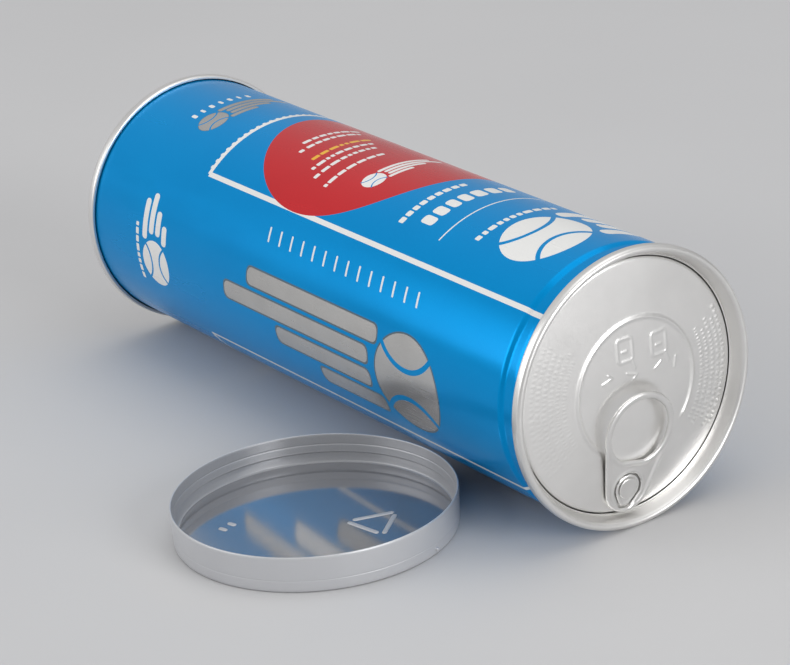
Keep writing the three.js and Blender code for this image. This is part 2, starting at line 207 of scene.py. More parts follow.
class Look:
    """A Principled material whose colour, roughness and bump come from textures in object coordinates."""

    def __init__(self, name, **sockets):
        self.made = bpy.data.materials.new(name)
        self.made.use_nodes = True
        self.tree = self.made.node_tree
        self.tree.nodes.clear()
        self.shader = self.node("BsdfPrincipled")
        self.join(self.shader.outputs[0], self.node("OutputMaterial").inputs[0])
        self.place = self.node("TexCoord").outputs["Object"]
        for socket, value in sockets.items():
            self.shader.inputs[socket.replace("_", " ")].default_value = value

    def node(self, kind, **inputs):
        made = self.tree.nodes.new("ShaderNode" + kind)
        for socket, value in inputs.items():
            made.inputs[socket.replace("_", " ")].default_value = value
        return made

    def join(self, output, socket):
        self.tree.links.new(output, socket)

    def texture(self, kind, stretch, **inputs):
        mapping = self.node("Mapping", Scale=stretch)
        self.join(self.place, mapping.inputs["Vector"])
        made = self.node(kind, **inputs)
        self.join(mapping.outputs[0], made.inputs["Vector"])
        return made.outputs

    def noise(self, per_metre, stretch=(1, 1, 1), detail=3.0):
        return self.texture("TexNoise", stretch, Scale=per_metre, Detail=detail)[0]

    def cells(self, per_metre):
        return self.texture("TexVoronoi", (1, 1, 1), Scale=per_metre)["Distance"]

    def ranged(self, value, low=0.3, high=0.7, to_low=0, to_high=1):
        node = self.node("MapRange", From_Min=low, From_Max=high, To_Min=to_low, To_Max=to_high)
        self.join(value, node.inputs["Value"])
        return node.outputs[0]

    def blended(self, share, first, second):
        """A colour between two, each a hex code, linear values or another node's output."""
        node = self.node("Mix")
        node.data_type = "RGBA"
        self.join(share, node.inputs[0])
        for socket, colour in ((node.inputs[6], first), (node.inputs[7], second)):
            if isinstance(colour, str):
                socket.default_value = shade(colour)
            elif isinstance(colour, tuple):
                socket.default_value = colour
            else:
                self.join(colour, socket)
        return node.outputs[2]

    def drive(self, socket, value):
        self.join(value, self.shader.inputs[socket])

    def bump(self, *layers):
        """Adds bumps from (height output, depth in millimetres) pairs."""
        below = None
        for height, depth in layers:
            node = self.node("Bump", Strength=1.0, Distance=depth * MM)
            self.join(height, node.inputs["Height"])
            if below is not None:
                self.join(below, node.inputs["Normal"])
            below = node.outputs[0]
        self.drive("Normal", below)


def ink(name, first, second, metallic=0.0, roughness=(0.2, 0.32), coat=0.5, gloss=0.5):
    """A lacquered ink: slow colour drift, fine dots, rubbed scuffs and the lacquer's faint orange peel."""
    look = Look(name, Metallic=metallic, Coat_Weight=coat, Coat_Roughness=0.1, Specular_IOR_Level=gloss)
    drift = look.ranged(look.noise(28, detail=2))
    dots = look.ranged(look.cells(2600), 0.1, 0.6, 0.0, 0.35)
    inked = look.blended(drift, first, second)
    dot_colour = (*(0.93 * v for v in shade(second)[:3]), 1.0)
    look.drive("Base Color", look.blended(dots, inked, dot_colour))
    scuffs = look.noise(90, stretch=(0.2, 1.0, 1.0), detail=6)
    look.drive("Roughness", look.ranged(scuffs, 0.35, 0.75, *roughness))
    look.bump((look.noise(700, detail=2), 0.0012), (look.noise(60, detail=2), 0.006))
    return look.made


def tin(name, first, second, roughness, grain=0.004, stretch=(1, 1, 1), aniso=0.0):
    """Bare rolled metal: a fine streaked grain, cloudy colour and rubbed patches."""
    look = Look(name, Metallic=1.0, Anisotropic=aniso)
    streaks = look.noise(2400, stretch=stretch, detail=5)
    clouds = look.noise(70, detail=4)
    rubbed = look.ranged(clouds, 0.35, 0.7, 0, 1)
    look.drive("Base Color", look.blended(rubbed, first, second))
    look.drive("Roughness", look.ranged(streaks, 0.3, 0.7, *roughness))
    look.bump((streaks, grain), (look.noise(5200, detail=2), grain * 0.6), (look.noise(40, detail=1), 0.01))
    return look.made


def silver_plastic(name, colours, metallic, roughness, coat):
    """Silver-pigmented polypropylene: fine flakes, faint flow clouds and a slightly uneven gloss."""
    look = Look(name, Metallic=metallic, Coat_Weight=coat, Coat_Roughness=0.08, IOR=1.5)
    flow = look.ranged(look.noise(30, stretch=(1, 1, 0.4), detail=2))
    flakes = look.ranged(look.cells(9000), 0.05, 0.5, 0, 0.3)
    base = look.blended(flow, *colours)
    look.drive("Base Color", look.blended(flakes, base, "d4d5d7"))
    look.drive("Roughness", look.ranged(look.noise(220, detail=3), 0.3, 0.75, *roughness))
    look.bump((look.noise(2600, detail=2), 0.0002), (look.noise(40, detail=1), 0.004))
    return look.made


def felt_look():
    """Napped optic-yellow felt: clumped fibres, darker roots and a soft sheen."""
    look = Look("ball_felt", Sheen_Weight=0.6, Sheen_Roughness=0.5, Specular_IOR_Level=0.15)
    clumps = look.noise(650, detail=6)
    fibres = look.noise(2600, detail=4)
    base = look.blended(look.ranged(clumps), "b4c828", "d2e63c")
    look.drive("Base Color", look.blended(look.ranged(fibres, 0.4, 0.7, 0, 0.5), base, "e9f47c"))
    look.drive("Roughness", look.ranged(fibres, 0.2, 0.8, 0.85, 1.0))
    look.bump((clumps, 0.5), (fibres, 0.25))
    return look.made


def dull(name, first, second, per_metre, depth, roughness=(0.6, 0.85)):
    """A matt moulded material such as rubber, sealing compound or glue."""
    look = Look(name)
    mottle = look.noise(per_metre, detail=5)
    look.drive("Base Color", look.blended(look.ranged(mottle), first, second))
    look.drive("Roughness", look.ranged(look.noise(per_metre * 3), 0.2, 0.8, *roughness))
    look.bump((mottle, depth))
    return look.made


INKS = {
    "blue": ink("ink_blue", "0096dc", "0090d6", 0.45, (0.2, 0.3), 0.02, 0.05),
    "white": ink("ink_white", "eaeae8", "e4e4e2", coat=0.2),
    "red": ink("ink_red", "d81822", "cc1620", 0.45, (0.22, 0.32), 0.15),
    "silver": tin("ink_bare_tin", "cfcecc", "c4c3c1", (0.2, 0.28), 0.0004, (0.05, 1, 1), 0.3),
    "edge": ink("ink_edge_grey", "4f6470", "5a6d78", 0.3, (0.25, 0.4), 0.1),
    "yellow": ink("ink_yellow", "f0b81e", "e6ad18", coat=0.2),
}
INSIDE_TIN = tin("tin_inside", "b9b4a6", "aaa596", (0.35, 0.5), 0.003, (0.05, 1, 1))
SEAM_TIN = tin("seam_tin", "ecebe9", "e5e4e2", (0.33, 0.37), 0.0001, (1, 0.3, 0.3))
END_ALU = tin("end_aluminium", "f2f1ef", "ebeae8", (0.3, 0.4), 0.0026, (1, 0.5, 1))
TAB_ALU = tin("tab_aluminium", "efeeec", "e8e7e5", (0.3, 0.36), 0.0002, (1, 1, 0.3))
CAP_WALL = silver_plastic("cap_silver_wall", ("bcbdc1", "c4c5c8"), 0.45, (0.36, 0.44), 0.05)
# Inside of the cap's wall: the same silver plastic as outside, coloured darker as painted shade inside the
# cap.
CAP_INSIDE_PAINTED_SHADE = silver_plastic("cap_silver_inside_painted_shade", ("8c8d91", "96979b"), 0.4, (0.38, 0.46), 0.03)
CAP_GLOSS = silver_plastic("cap_silver_floor", ("a2a3a7", "a6a7ab"), 0.75, (0.08, 0.11), 0.08)
FELT = felt_look()
GLUE = dull("seam_glue", "e8e9dc", "d2d4c0", 900, 0.06)
RUBBER = dull("core_rubber", "3b3a38", "2a2a29", 500, 0.05)
COMPOUND = dull("seam_compound", "8f9488", "7b8075", 700, 0.04)


# ---- mesh helpers


def linked(name, data):
    made = bpy.data.objects.new(name, data)
    bpy.context.scene.collection.objects.link(made)
    return made


def piece(
    name, points, faces, materials, body, stands_for, face_slots=None, normals=None, sharp=None
):
    """A mesh object from points in millimetres about the frame's origin, riding on a body."""
    mesh = bpy.data.meshes.new(name)
    mesh.from_pydata([tuple(MM * v for v in p) for p in points], [], faces)
    for material in materials:
        mesh.materials.append(material)
    if face_slots is not None:
        mesh.polygons.foreach_set("material_index", face_slots)
    mesh.shade_smooth()
    if normals is not None:
        mesh.normals_split_custom_set_from_vertices(normals)
    if sharp is not None:
        mesh.set_sharp_from_angle(angle=math.radians(sharp))
    mesh.update()
    made = linked(name, mesh)
    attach(made, body)
    if stands_for:
        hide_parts(stands_for)
    return made


def on_circle(centre, radius, angles):
    return [(centre[0] + radius * math.cos(a), centre[1] + radius * math.sin(a)) for a in angles]


def spread(start, end, steps):
    """Even steps from start to end, both included."""
    return [start + (end - start) * i / steps for i in range(steps + 1)]


def upright(centre):
    """Places a turned outline about an upright axis through a point."""
    x, y, z = centre
    return lambda radius, turn, rise: (x + radius * math.cos(turn), y + radius * math.sin(turn), z + rise)


def softened(line, radius, steps=5):
    """A polyline with each corner replaced by a short curve."""
    spots = [Vector(p) for p in line]
    made = [spots[0]]
    for before, corner, after in zip(spots, spots[1:], spots[2:]):
        reach = min(radius, 0.45 * (corner - before).length, 0.45 * (after - corner).length)
        start = corner + (before - corner).normalized() * reach
        end = corner + (after - corner).normalized() * reach
        for i in range(steps + 1):
            t = i / steps
            made.append(start * (1 - t) ** 2 + corner * 2 * t * (1 - t) + end * t**2)
    made.append(spots[-1])
    return [tuple(p) for p in made]


def sheet_outline(line, thickness):
    """The closed outline of a sheet of even thickness about a middle line of (radius, height)."""
    spots = np.array(line)
    along = np.gradient(spots, axis=0)
    along /= np.linalg.norm(along, axis=1)[:, None]
    aside = np.column_stack((-along[:, 1], along[:, 0])) * thickness / 2
    aside[spots[:, 0] < 1e-6, 0] = 0
    return [*map(tuple, spots + aside), *map(tuple, (spots - aside)[::-1])]


def turned(outline, steps, to_frame):
    """Points and faces of a closed outline of (radius, height) turned about its axis."""
    points, rings = [], []
    for radius, height in outline:
        count = 1 if radius < 1e-6 else steps
        rings.append(range(len(points), len(points) + count))
        points += [to_frame(radius, 2 * math.pi * j / steps, height) for j in range(count)]
    faces = []
    for here, above in zip(rings, rings[1:] + rings[:1]):
        for j in range(steps):
            k = (j + 1) % steps
            face = [here[j % len(here)], above[j % len(above)], above[k % len(above)], here[k % len(here)]]
            face = list(dict.fromkeys(face))
            if len(face) > 2:
                faces.append(face)
    return points, outward(points, faces)


def outward(points, faces):
    """The faces of a closed surface, turned over if they face inwards."""
    spots = np.array([tuple(p) for p in points])
    volume = 0.0
    for face in faces:
        for b, c in zip(face[1:], face[2:]):
            volume += float(np.dot(spots[face[0]], np.cross(spots[b], spots[c])))
    return faces if volume > 0 else [face[::-1] for face in faces]


def on_can(radius, angle, along):
    """A point of the can: angle 0 faces +Y, a quarter turn faces up, and along is from its middle."""
    return (
        can_middle.x / MM + along,
        can_middle.y / MM + radius * math.cos(angle),
        can_middle.z / MM + radius * math.sin(angle),
    )


# ---- printed body


def at(degrees):
    """Distance round the can's wall at an angle."""
    return BODY_R * math.radians(degrees)


class Print:
    """Flat shapes on the unrolled wall: x along the can, y round it. Later shapes cover earlier ones."""

    def __init__(self):
        self.shapes = []

    def add(self, colour, outline):
        self.shapes.append((colour, outline))

    def disc(self, colour, centre, radius, steps=56):
        self.add(colour, on_circle(centre, radius, spread(0, 2 * math.pi, steps)[:-1]))

    def arc(self, colour, centre, radius, width, start, end, steps=28):
        turns = spread(start, end, steps)
        outer = on_circle(centre, radius + width / 2, turns)
        inner = on_circle(centre, radius - width / 2, turns[::-1])
        self.add(colour, outer + inner)

    def block(self, colour, centre, size, corner=0.25, slant=0.0, steps=3):
        """A rounded rectangle whose sides lean by a share of its height."""
        half_x, half_y = size[0] / 2, size[1] / 2
        corner = min(corner, half_x * 0.95, half_y * 0.95)
        outline = []
        for quarter, (sx, sy) in enumerate(((1, 1), (-1, 1), (-1, -1), (1, -1))):
            for i in range(steps + 1):
                a = math.pi / 2 * (quarter + i / steps)
                x = sx * (half_x - corner) + corner * math.cos(a)
                y = sy * (half_y - corner) + corner * math.sin(a)
                outline.append((centre[0] + x + slant * y, centre[1] + y))
        self.add(colour, outline)

    def row(self, colour, x, span, tall, seed, shortest=0.7, longest=2.2, gap=0.45):
        """Plain marks running round the can over a span in degrees, where small print would be."""
        dice = random.Random(seed)
        y, end = map(at, span)
        while y + shortest * tall < end:
            long = tall * dice.uniform(shortest, longest)
            self.block(colour, (x, y + long / 2), (tall, min(long, end - y)), corner=0.2 * tall)
            y += long + gap * tall

    def ball_mark(self, colour, centre, radius, tail, heading, edge=None):
        """A ball with its curved seam, and four bars that trail behind it."""
        hx, hy = heading
        bars = [(-0.75, 0.4), (-0.25, 0.66), (0.25, 1.0), (0.75, 0.84)]
        for grow, paint in ((0.035 * radius, edge), (0.0, colour)):
            if paint is None:
                continue
            self.disc(paint, centre, radius + grow)
            for offset, share in bars:
                near = math.sqrt(1 - offset**2) * radius + 0.28 * radius
                far = radius + (tail - radius) * share
                middle = (near + far) / 2
                spot = (
                    centre[0] + hx * middle + hy * offset * radius,
                    centre[1] + hy * middle + hx * offset * radius,
                )
                length, wide = far - near + 2 * grow, 0.36 * radius + 2 * grow
                size = (length, wide) if abs(hx) > abs(hy) else (wide, length)
                self.block(paint, spot, size, corner=0.14 * radius)
        for side in (-1, 1):
            middle = (centre[0] + side * 1.25 * radius * hy, centre[1] + side * 1.25 * radius * hx)
            facing = math.atan2(-side * hx, -side * hy)
            self.arc("blue", middle, 0.95 * radius, 0.11 * radius, facing - 1.0, facing + 1.0)


def label():
    """All the print, in the order it is laid down."""
    made = Print()
    for draw in (frame_lines, red_disc, top_marks, front_marks, back_marks):
        draw(made)
    return made.shapes


def frame_lines(made):
    """Two lines along the can and a scalloped line round it, which frame the side that faces up."""
    run_end = HALF_LENGTH - 3
    middle, length = (FRAME_X + run_end) / 2, run_end - FRAME_X
    made.block("white", (middle, at(FRAME_TOP)), (length, PRINT_LINE), corner=0.1)
    made.block("white", (middle, at(FRAME_LOW)), (length, PRINT_LINE * 0.8), corner=0.1)
    left, right = FRAME_X - PRINT_LINE / 2, FRAME_X + PRINT_LINE / 2
    for start, end in ((-90, FRAME_TOP), (FRAME_LOW, 270)):
        low, high = at(start), at(end)
        made.add("white", [(left, low), (right, low), (right, high), (left, high)])
        scallops = int((high - low) / SCALLOP_STEP)
        for y in spread(low, high, scallops)[1:-1]:
            made.disc("white", (left, y), SCALLOP_R, steps=12)


def red_disc(made):
    """The red disc with a ball mark and rows of plain marks, one of them yellow."""
    made.disc("red", (RED_X, at(RED_ANGLE)), RED_R, steps=120)
    made.ball_mark("white", (8, at(105)), 3.6, 24, (0, -1))
    for i, x in enumerate(RED_ROWS_X):
        colour = "yellow" if i == YELLOW_ROW else "white"
        made.row(colour, x, (70 + 3 * i, 102 + 3.4 * i), 1.5, seed=i, gap=0.35)


def top_marks(made):
    """Rows, a thin line and a large ball mark between the red disc and the ring-pull end."""
    made.row("white", 32.5, (84, 121), 2.1, seed=11, shortest=0.8, longest=1.1, gap=0.3)
    made.row("white", 41, (70, 120), 5.2, seed=12, shortest=0.55, longest=0.75, gap=0.22)
    made.block("white", (50.5, at(92)), (0.5, at(58)), corner=0.1)
    made.row("white", 62, (72, 114), 1.9, seed=13, shortest=0.6, longest=1.5, gap=0.35)
    made.ball_mark("white", (78, at(97.5)), 12.2, 40, (0, -1))


def front_marks(made):
    """The marks by the bottom end, the row of thin strokes and the big silver mark."""
    made.ball_mark("white", (-70, at(183.8)), 7.0, 21, (0, -1))
    made.row("white", -79.4, (167, 195), 1.5, seed=14, shortest=0.7, longest=1.6, gap=0.35)
    made.ball_mark("silver", (-71.5, at(108)), 4.7, 27, (0, -1), edge="edge")
    made.row("white", -80, (79, 112), 2.6, seed=15, shortest=0.35, longest=0.5, gap=0.8)
    for i in range(STROKES):
        made.block("white", (-14 + STROKE_STEP * i, at(147.5)), (0.75, 4.2), corner=0.2, slant=0.25)
    made.ball_mark("silver", (56, at(184.5)), 14.0, 88, (-1, 0), edge="edge")


def back_marks(made):
    """A ball mark, a white panel with blue rows and two white rows, on the side away from the camera."""
    made.ball_mark("white", (70, at(0)), 11.0, 30, (0, -1))
    made.block("white", (8, at(-30)), (74, 46), corner=2.5)
    for i in range(BACK_ROWS):
        made.row("blue", -22 + BACK_ROW_STEP * i, (-60, -2), 2.4, seed=30 + i, gap=0.4)
    made.row("white", -66, (-52, -6), 3.0, seed=40, shortest=0.5, longest=0.8, gap=0.4)
    made.row("white", -76, (-45, -12), 1.7, seed=41)


def smooth_step(value):
    value = min(max(value, 0.0), 1.0)
    return value * value * (3 - 2 * value)


def wall_radius(along):
    """The body's outside radius: straight, necked in by the ring-pull end, with a flange in each seam."""
    depth = HALF_LENGTH - along
    from_bottom = HALF_LENGTH + along
    necked = (BODY_R - NECK_R) * smooth_step((NECK_START - depth) / (NECK_START - NECK_END))
    groove = GROOVE_DEPTH * math.exp(-(((depth - NECK_GROOVE) / GROOVE_HALF) ** 2))
    top_flange = TOP_FLANGE_RISE * smooth_step((TOP_FLANGE_REACH - depth) / TOP_FLANGE_RUN) ** 2
    bottom_flange = FLANGE_RISE * smooth_step((FLANGE_REACH - from_bottom) / FLANGE_RUN) ** 2
    return BODY_R - necked - groove + top_flange + bottom_flange


def unrolled_grid(stations, steps):
    """Grid points and edges over the unrolled wall, which starts and ends under the can."""
    points = [(x, at(-90 + 360 * j / steps)) for x in stations for j in range(steps + 1)]
    wide = steps + 1
    edges = []
    for i in range(len(stations)):
        for j in range(wide):
            here = i * wide + j
            if j < steps:
                edges.append((here, here + 1))
            if i < len(stations) - 1:
                edges.append((here, here + wide))
    return points, edges


def joined(flat):
    """The unrolled points with the last edge laid on the first, and the number each point gets."""
    spots, numbers, known = [], [], {}
    for x, y in flat:
        wrapped = y - at(360) if y > at(270) - 1e-4 else y
        key = (round(x, 4), round(wrapped, 4))
        if key not in known:
            known[key] = len(spots)
            spots.append((x, wrapped))
        numbers.append(known[key])
    return spots, numbers


def printed_skin():
    """The outside cut along the outlines of the print: unrolled points, faces and each face's ink."""
    stations = [BODY_START, BODY_START + 0.4, BODY_START + 0.8]
    stations += [*np.linspace(BODY_START + 2, STRAIGHT_END, 17)]
    stations += [*np.linspace(STRAIGHT_END, BODY_END, 34)[1:]]
    points, edges = unrolled_grid(stations, TURN_STEPS)
    shapes = label()
    outlines = []
    for _, outline in shapes:
        outlines.append(list(range(len(points), len(points) + len(outline))))
        points += outline
    cut = geometry.delaunay_2d_cdt([Vector(p) for p in points], edges, outlines, 3, 1e-5)
    spots, numbers = joined(cut[0])
    colours = list(INKS)
    faces, slots = [], []
    for face, inside in zip(cut[2], cut[5]):
        ring = list(dict.fromkeys(numbers[i] for i in reversed(face)))
        if len(ring) > 2:
            faces.append(ring)
            slots.append(colours.index(shapes[max(inside)][0]) if inside else 0)
    return spots, faces, slots


def wall_normal(along, angle):
    slope = (wall_radius(along + 0.01) - wall_radius(along - 0.01)) / 0.02
    return Vector((-slope, math.cos(angle), math.sin(angle))).normalized()


def rim_of(spots, end):
    """The points of the skin at one end, in order round the can."""
    ring = sorted((y, i) for i, (x, y) in enumerate(spots) if abs(x - end) < 1e-3)
    return [i for y, i in ring]


def can_body():
    """The printed skin and a plain inner skin that joins it at both rims."""
    spots, faces, slots = printed_skin()
    points = [on_can(wall_radius(x), y / BODY_R, x) for x, y in spots]
    normals = [wall_normal(x, y / BODY_R) for x, y in spots]
    rings = [rim_of(spots, BODY_START)]
    angles = [spots[i][1] / BODY_R for i in rings[0]]
    stations = [BODY_START + 1.2, *np.linspace(BODY_START + 6, STRAIGHT_END, 12)]
    stations += [*np.linspace(STRAIGHT_END, BODY_END, 16)[1:-1]]
    for x in stations:
        rings.append(list(range(len(points), len(points) + len(angles))))
        points += [on_can(wall_radius(x) - SHEET, a, x) for a in angles]
        normals += [Vector((0, -math.cos(a), -math.sin(a))) for a in angles]
    rings.append(rim_of(spots, BODY_END))
    for here, above in zip(rings, rings[1:]):
        for j in range(len(angles)):
            k = (j + 1) % len(angles)
            faces.append([here[j], above[j], above[k], here[k]])
            slots.append(len(INKS))
    return piece(
        "printed_body", points, faces, [*INKS.values(), INSIDE_TIN], "can", "can_body",
        slots, normals,
    )


# ---- ends


def seam_line(curl_radius):
    """The double seam's middle line, from the top of the chuck wall over the crest to the curl."""
    outer = SEAM_R - SHEET / 2
    crest = [(36.1, 0.75), (36.65, 0.15), (outer - 0.5, 0.15), (outer, 0.7)]
    return crest + [(outer, 2.85), (curl_radius, 2.85)]


def end_piece(name, line, end, radius, body, node, material):
    """A pressed end turned from its middle line of (radius, depth); end is 1 at the ring-pull, else -1."""
    outline = sheet_outline(softened(line, radius), SHEET)

    def place(across, angle, depth):
        return on_can(across, angle, end * (HALF_LENGTH - depth))

    points, faces = turned(outline, TURN_STEPS, place)
    return piece(name, points, faces, [material], body, node, sharp=50)


def bottom_end():
    """The bottom: a middle disc and a ring stepped up from the floor, a countersink, and the seam."""
    line = [(0, 3.4), (19.5, 3.4), (20.5, 4.0), (27.5, 4.0)]
    line += [(28.5, 3.4), (33.3, 3.4), (34.3, 4.6), (35.3, 4.6)]
    line += seam_line(BODY_R + 0.4)
    end_piece("bottom_end_sheet", line, -1, 0.6, "can", "bottom_end", SEAM_TIN)


def end_ring():
    line = [(PANEL_R + SCORE_GAP, PANEL_DEPTH), (34.9, 4.4), (35.15, 4.0)]
    line += seam_line(NECK_R + 0.6)
    end_piece("seamed_ring", line, 1, 0.5, "can", "end_ring", SEAM_TIN)


def ring_bump(distance, half):
    """A rounded ridge about distance 0."""
    return np.exp(-((distance / half) ** 2))


def segment_distance(y, z, start, end):
    ay, az = start
    dy, dz = end[0] - ay, end[1] - az
    share = np.clip(((y - ay) * dy + (z - az) * dz) / (dy * dy + dz * dz), 0, 1)
    return np.hypot(y - ay - share * dy, z - az - share * dz)


def rows_of_marks(y, z):
    """Raised plain marks in curved rows on both sides of the bead, where pressed text would be."""
    radius = np.hypot(y, z)
    angle = np.degrees(np.arctan2(z, y))
    raised = np.zeros_like(y)
    dice = random.Random(7)
    for middle, half_span, rise, radii in MARK_BLOCKS:
        for row in radii:
            aside = (angle - middle + 180) % 360 - 180
            across = rise * np.clip((0.68 - np.abs(radius - row)) / 0.25, 0, 1)
            spot = -half_span * dice.uniform(0.75, 1.0)
            while spot < half_span * dice.uniform(0.75, 1.0):
                length = dice.uniform(1.1, 2.4)
                reach = (length / 2 - np.abs(aside - spot - length / 2)) * math.radians(1) * row
                raised = np.maximum(raised, across * np.clip(reach / 0.2, 0, 1))
                spot += length + dice.uniform(0.7, 1.3)
    return raised


def pictures(y, z):
    """Two raised boxes, each with a bar and a tail, and the plain strokes round them."""
    raised = np.zeros_like(y)
    strokes = [(start, end, 0.3) for start, end in PICTURE_STROKES]
    for cy, cz in PICTURE_CENTRES:
        over_y, over_z = np.abs(y - cy) - PICTURE_HALF[0], np.abs(z - cz) - PICTURE_HALF[1]
        outside = np.hypot(np.maximum(over_y, 0), np.maximum(over_z, 0))
        box = outside + np.minimum(np.maximum(over_y, over_z), 0)
        raised = np.maximum(raised, ring_bump(box - PICTURE_CORNER, 0.42))
        strokes.append(((cy - 1.0, cz - 0.4), (cy + 0.6, cz - 0.4), 0.36))
        strokes.append(((cy + 2.2, cz - 3.6), (cy + 3.0, cz - 5.6), 0.34))
    for start, end, half in strokes:
        raised = np.maximum(raised, ring_bump(segment_distance(y, z, start, end), half))
    return raised


def panel_rise(y, z):
    """Height of the panel's face above the rim of its dome."""
    radius = np.hypot(y, z)
    rise = PANEL_DOME * (1 - (radius / PANEL_R) ** 2)
    bead_y, bead_z = y - BEAD_CENTRE[0], z - BEAD_CENTRE[1]
    bead_angle = np.arctan2(bead_z, bead_y)
    gap_middle, gap_half = sum(BEAD_OPEN) / 2, (BEAD_OPEN[1] - BEAD_OPEN[0]) / 2
    shut = np.clip((np.abs(bead_angle - gap_middle) - gap_half) / BEAD_FADE, 0, 1)
    rise = rise + BEAD_RISE * ring_bump(np.hypot(bead_y, bead_z) - BEAD_R, BEAD_HALF) * shut
    well = np.hypot((y - WELL_CENTRE[0]) / WELL_HALF[0], (z - WELL_CENTRE[1]) / WELL_HALF[1])
    rise = rise - WELL_DEPTH / (1 + np.exp((well - WELL_LINE) / WELL_EDGE))
    rise = rise + rows_of_marks(y, z) + PICTURE_RISE * pictures(y, z)
    return rise - RIM_DIP * np.clip((radius - (PANEL_R - RIM_DIP_WIDTH)) / RIM_DIP_WIDTH, 0, 1) ** 2


def tear_panel():
    """The domed panel as two sheets of rings about its middle, joined at the rim."""
    radii = PANEL_R * np.linspace(0, 1, PANEL_RINGS + 1)[1:]
    angles = 2 * math.pi * np.arange(PANEL_STEPS) / PANEL_STEPS
    y = np.concatenate(([0.0], np.outer(radii, np.cos(angles)).ravel()))
    z = np.concatenate(([0.0], np.outer(radii, np.sin(angles)).ravel()))
    top = HALF_LENGTH - PANEL_DEPTH + panel_rise(y, z) + SHEET / 2
    count = len(y)
    origin = can_middle / MM
    front = np.column_stack((origin.x + top, origin.y + y, origin.z + z))
    back = front - (PANEL_SHEET, 0, 0)
    last = 1 + (PANEL_RINGS - 1) * PANEL_STEPS
    faces, edge = [], []
    for k in range(PANEL_STEPS):
        after = (k + 1) % PANEL_STEPS
        faces.append([0, 1 + k, 1 + after])
        for ring in range(PANEL_RINGS - 1):
            a, b = 1 + ring * PANEL_STEPS, 1 + (ring + 1) * PANEL_STEPS
            faces.append([a + k, b + k, b + after, a + after])
        edge.append([last + k, count + last + k, count + last + after, last + after])
    under = [[count + i for i in reversed(face)] for face in faces]
    points = [tuple(p) for p in np.vstack((front, back))]
    faces += under + edge
    piece("domed_panel", points, faces, [END_ALU], "panel", "tear_panel", sharp=60)


# ---- pull tab


def tab_frame():
    """Millimetre matrix of the tab: x across it, y from its nose to its ring, z out from the panel."""
    joint = next(j for j in frame["joints"] if j["name"] == "tab_lift")
    across = Vector(joint["axis"]).normalized()
    out = Vector((1, 0, 0))
    flat_up = out.cross(across)
    flat_up = flat_up if flat_up.z > 0 else -flat_up
    up = math.cos(TAB_TILT) * flat_up + math.sin(TAB_TILT) * out
    normal = math.cos(TAB_TILT) * out - math.sin(TAB_TILT) * flat_up
    turned_axes = Matrix((across, up, normal)).transposed().to_4x4()
    return Matrix.Translation(Vector(joint["pos_m"]) / MM) @ turned_axes


def arc_points(centre_u, radius, start, end, steps):
    """An arc about a point on the tab's middle line."""
    return on_circle((0, centre_u), radius, spread(start, end, steps))


def tab_outline():
    lean = math.asin((RING_R - NOSE_R) / (RING_U - NOSE_U))
    ring = arc_points(RING_U, RING_R, -lean, math.pi + lean, 96)
    return ring + arc_points(NOSE_U, NOSE_R, math.pi + lean, 2 * math.pi - lean, 60)


def ring_hole():
    """The finger hole: round, with a flat side towards the nose and rounded corners."""
    reach = math.asin((RING_U - RING_FLAT_U) / RING_HOLE_R)
    curve = arc_points(RING_U, RING_HOLE_R, -reach, math.pi + reach, 96)
    left, right = (curve[-1][0] * 0.98, RING_FLAT_U), (curve[0][0] * 0.98, RING_FLAT_U)
    return curve[6:-6] + softened([curve[-6], left, right, curve[5]], 1.6, 8)


def keyhole(radius, neck, end_u):
    """A disc round the rivet that narrows to a neck at the tab's nose."""
    curve = arc_points(RIVET_U, radius, TONGUE_LEAN, math.pi - TONGUE_LEAN, 56)
    line = softened([curve[-1], (-neck, end_u), (neck, end_u), curve[0]], 0.5, 5)
    return curve + line[1:-1]


def evenly(outline, spacing):
    """Points along a closed outline, no further apart than the spacing."""
    made = []
    for (x0, y0), (x1, y1) in zip(outline, outline[1:] + outline[:1]):
        count = max(1, math.ceil(math.hypot(x1 - x0, y1 - y0) / spacing))
        made += [(x0 + (x1 - x0) * i / count, y0 + (y1 - y0) * i / count) for i in range(count)]
    return made


def edge_distance(spots, outline):
    ends = np.roll(outline, -1, axis=0)
    run = ends - outline
    length = np.maximum((run**2).sum(1), 1e-12)
    best = np.full(len(spots), 1e9)
    for start, step, square in zip(outline, run, length):
        share = np.clip(((spots - start) @ step) / square, 0, 1)
        best = np.minimum(best, np.hypot(*(spots - start - share[:, None] * step).T))
    return best


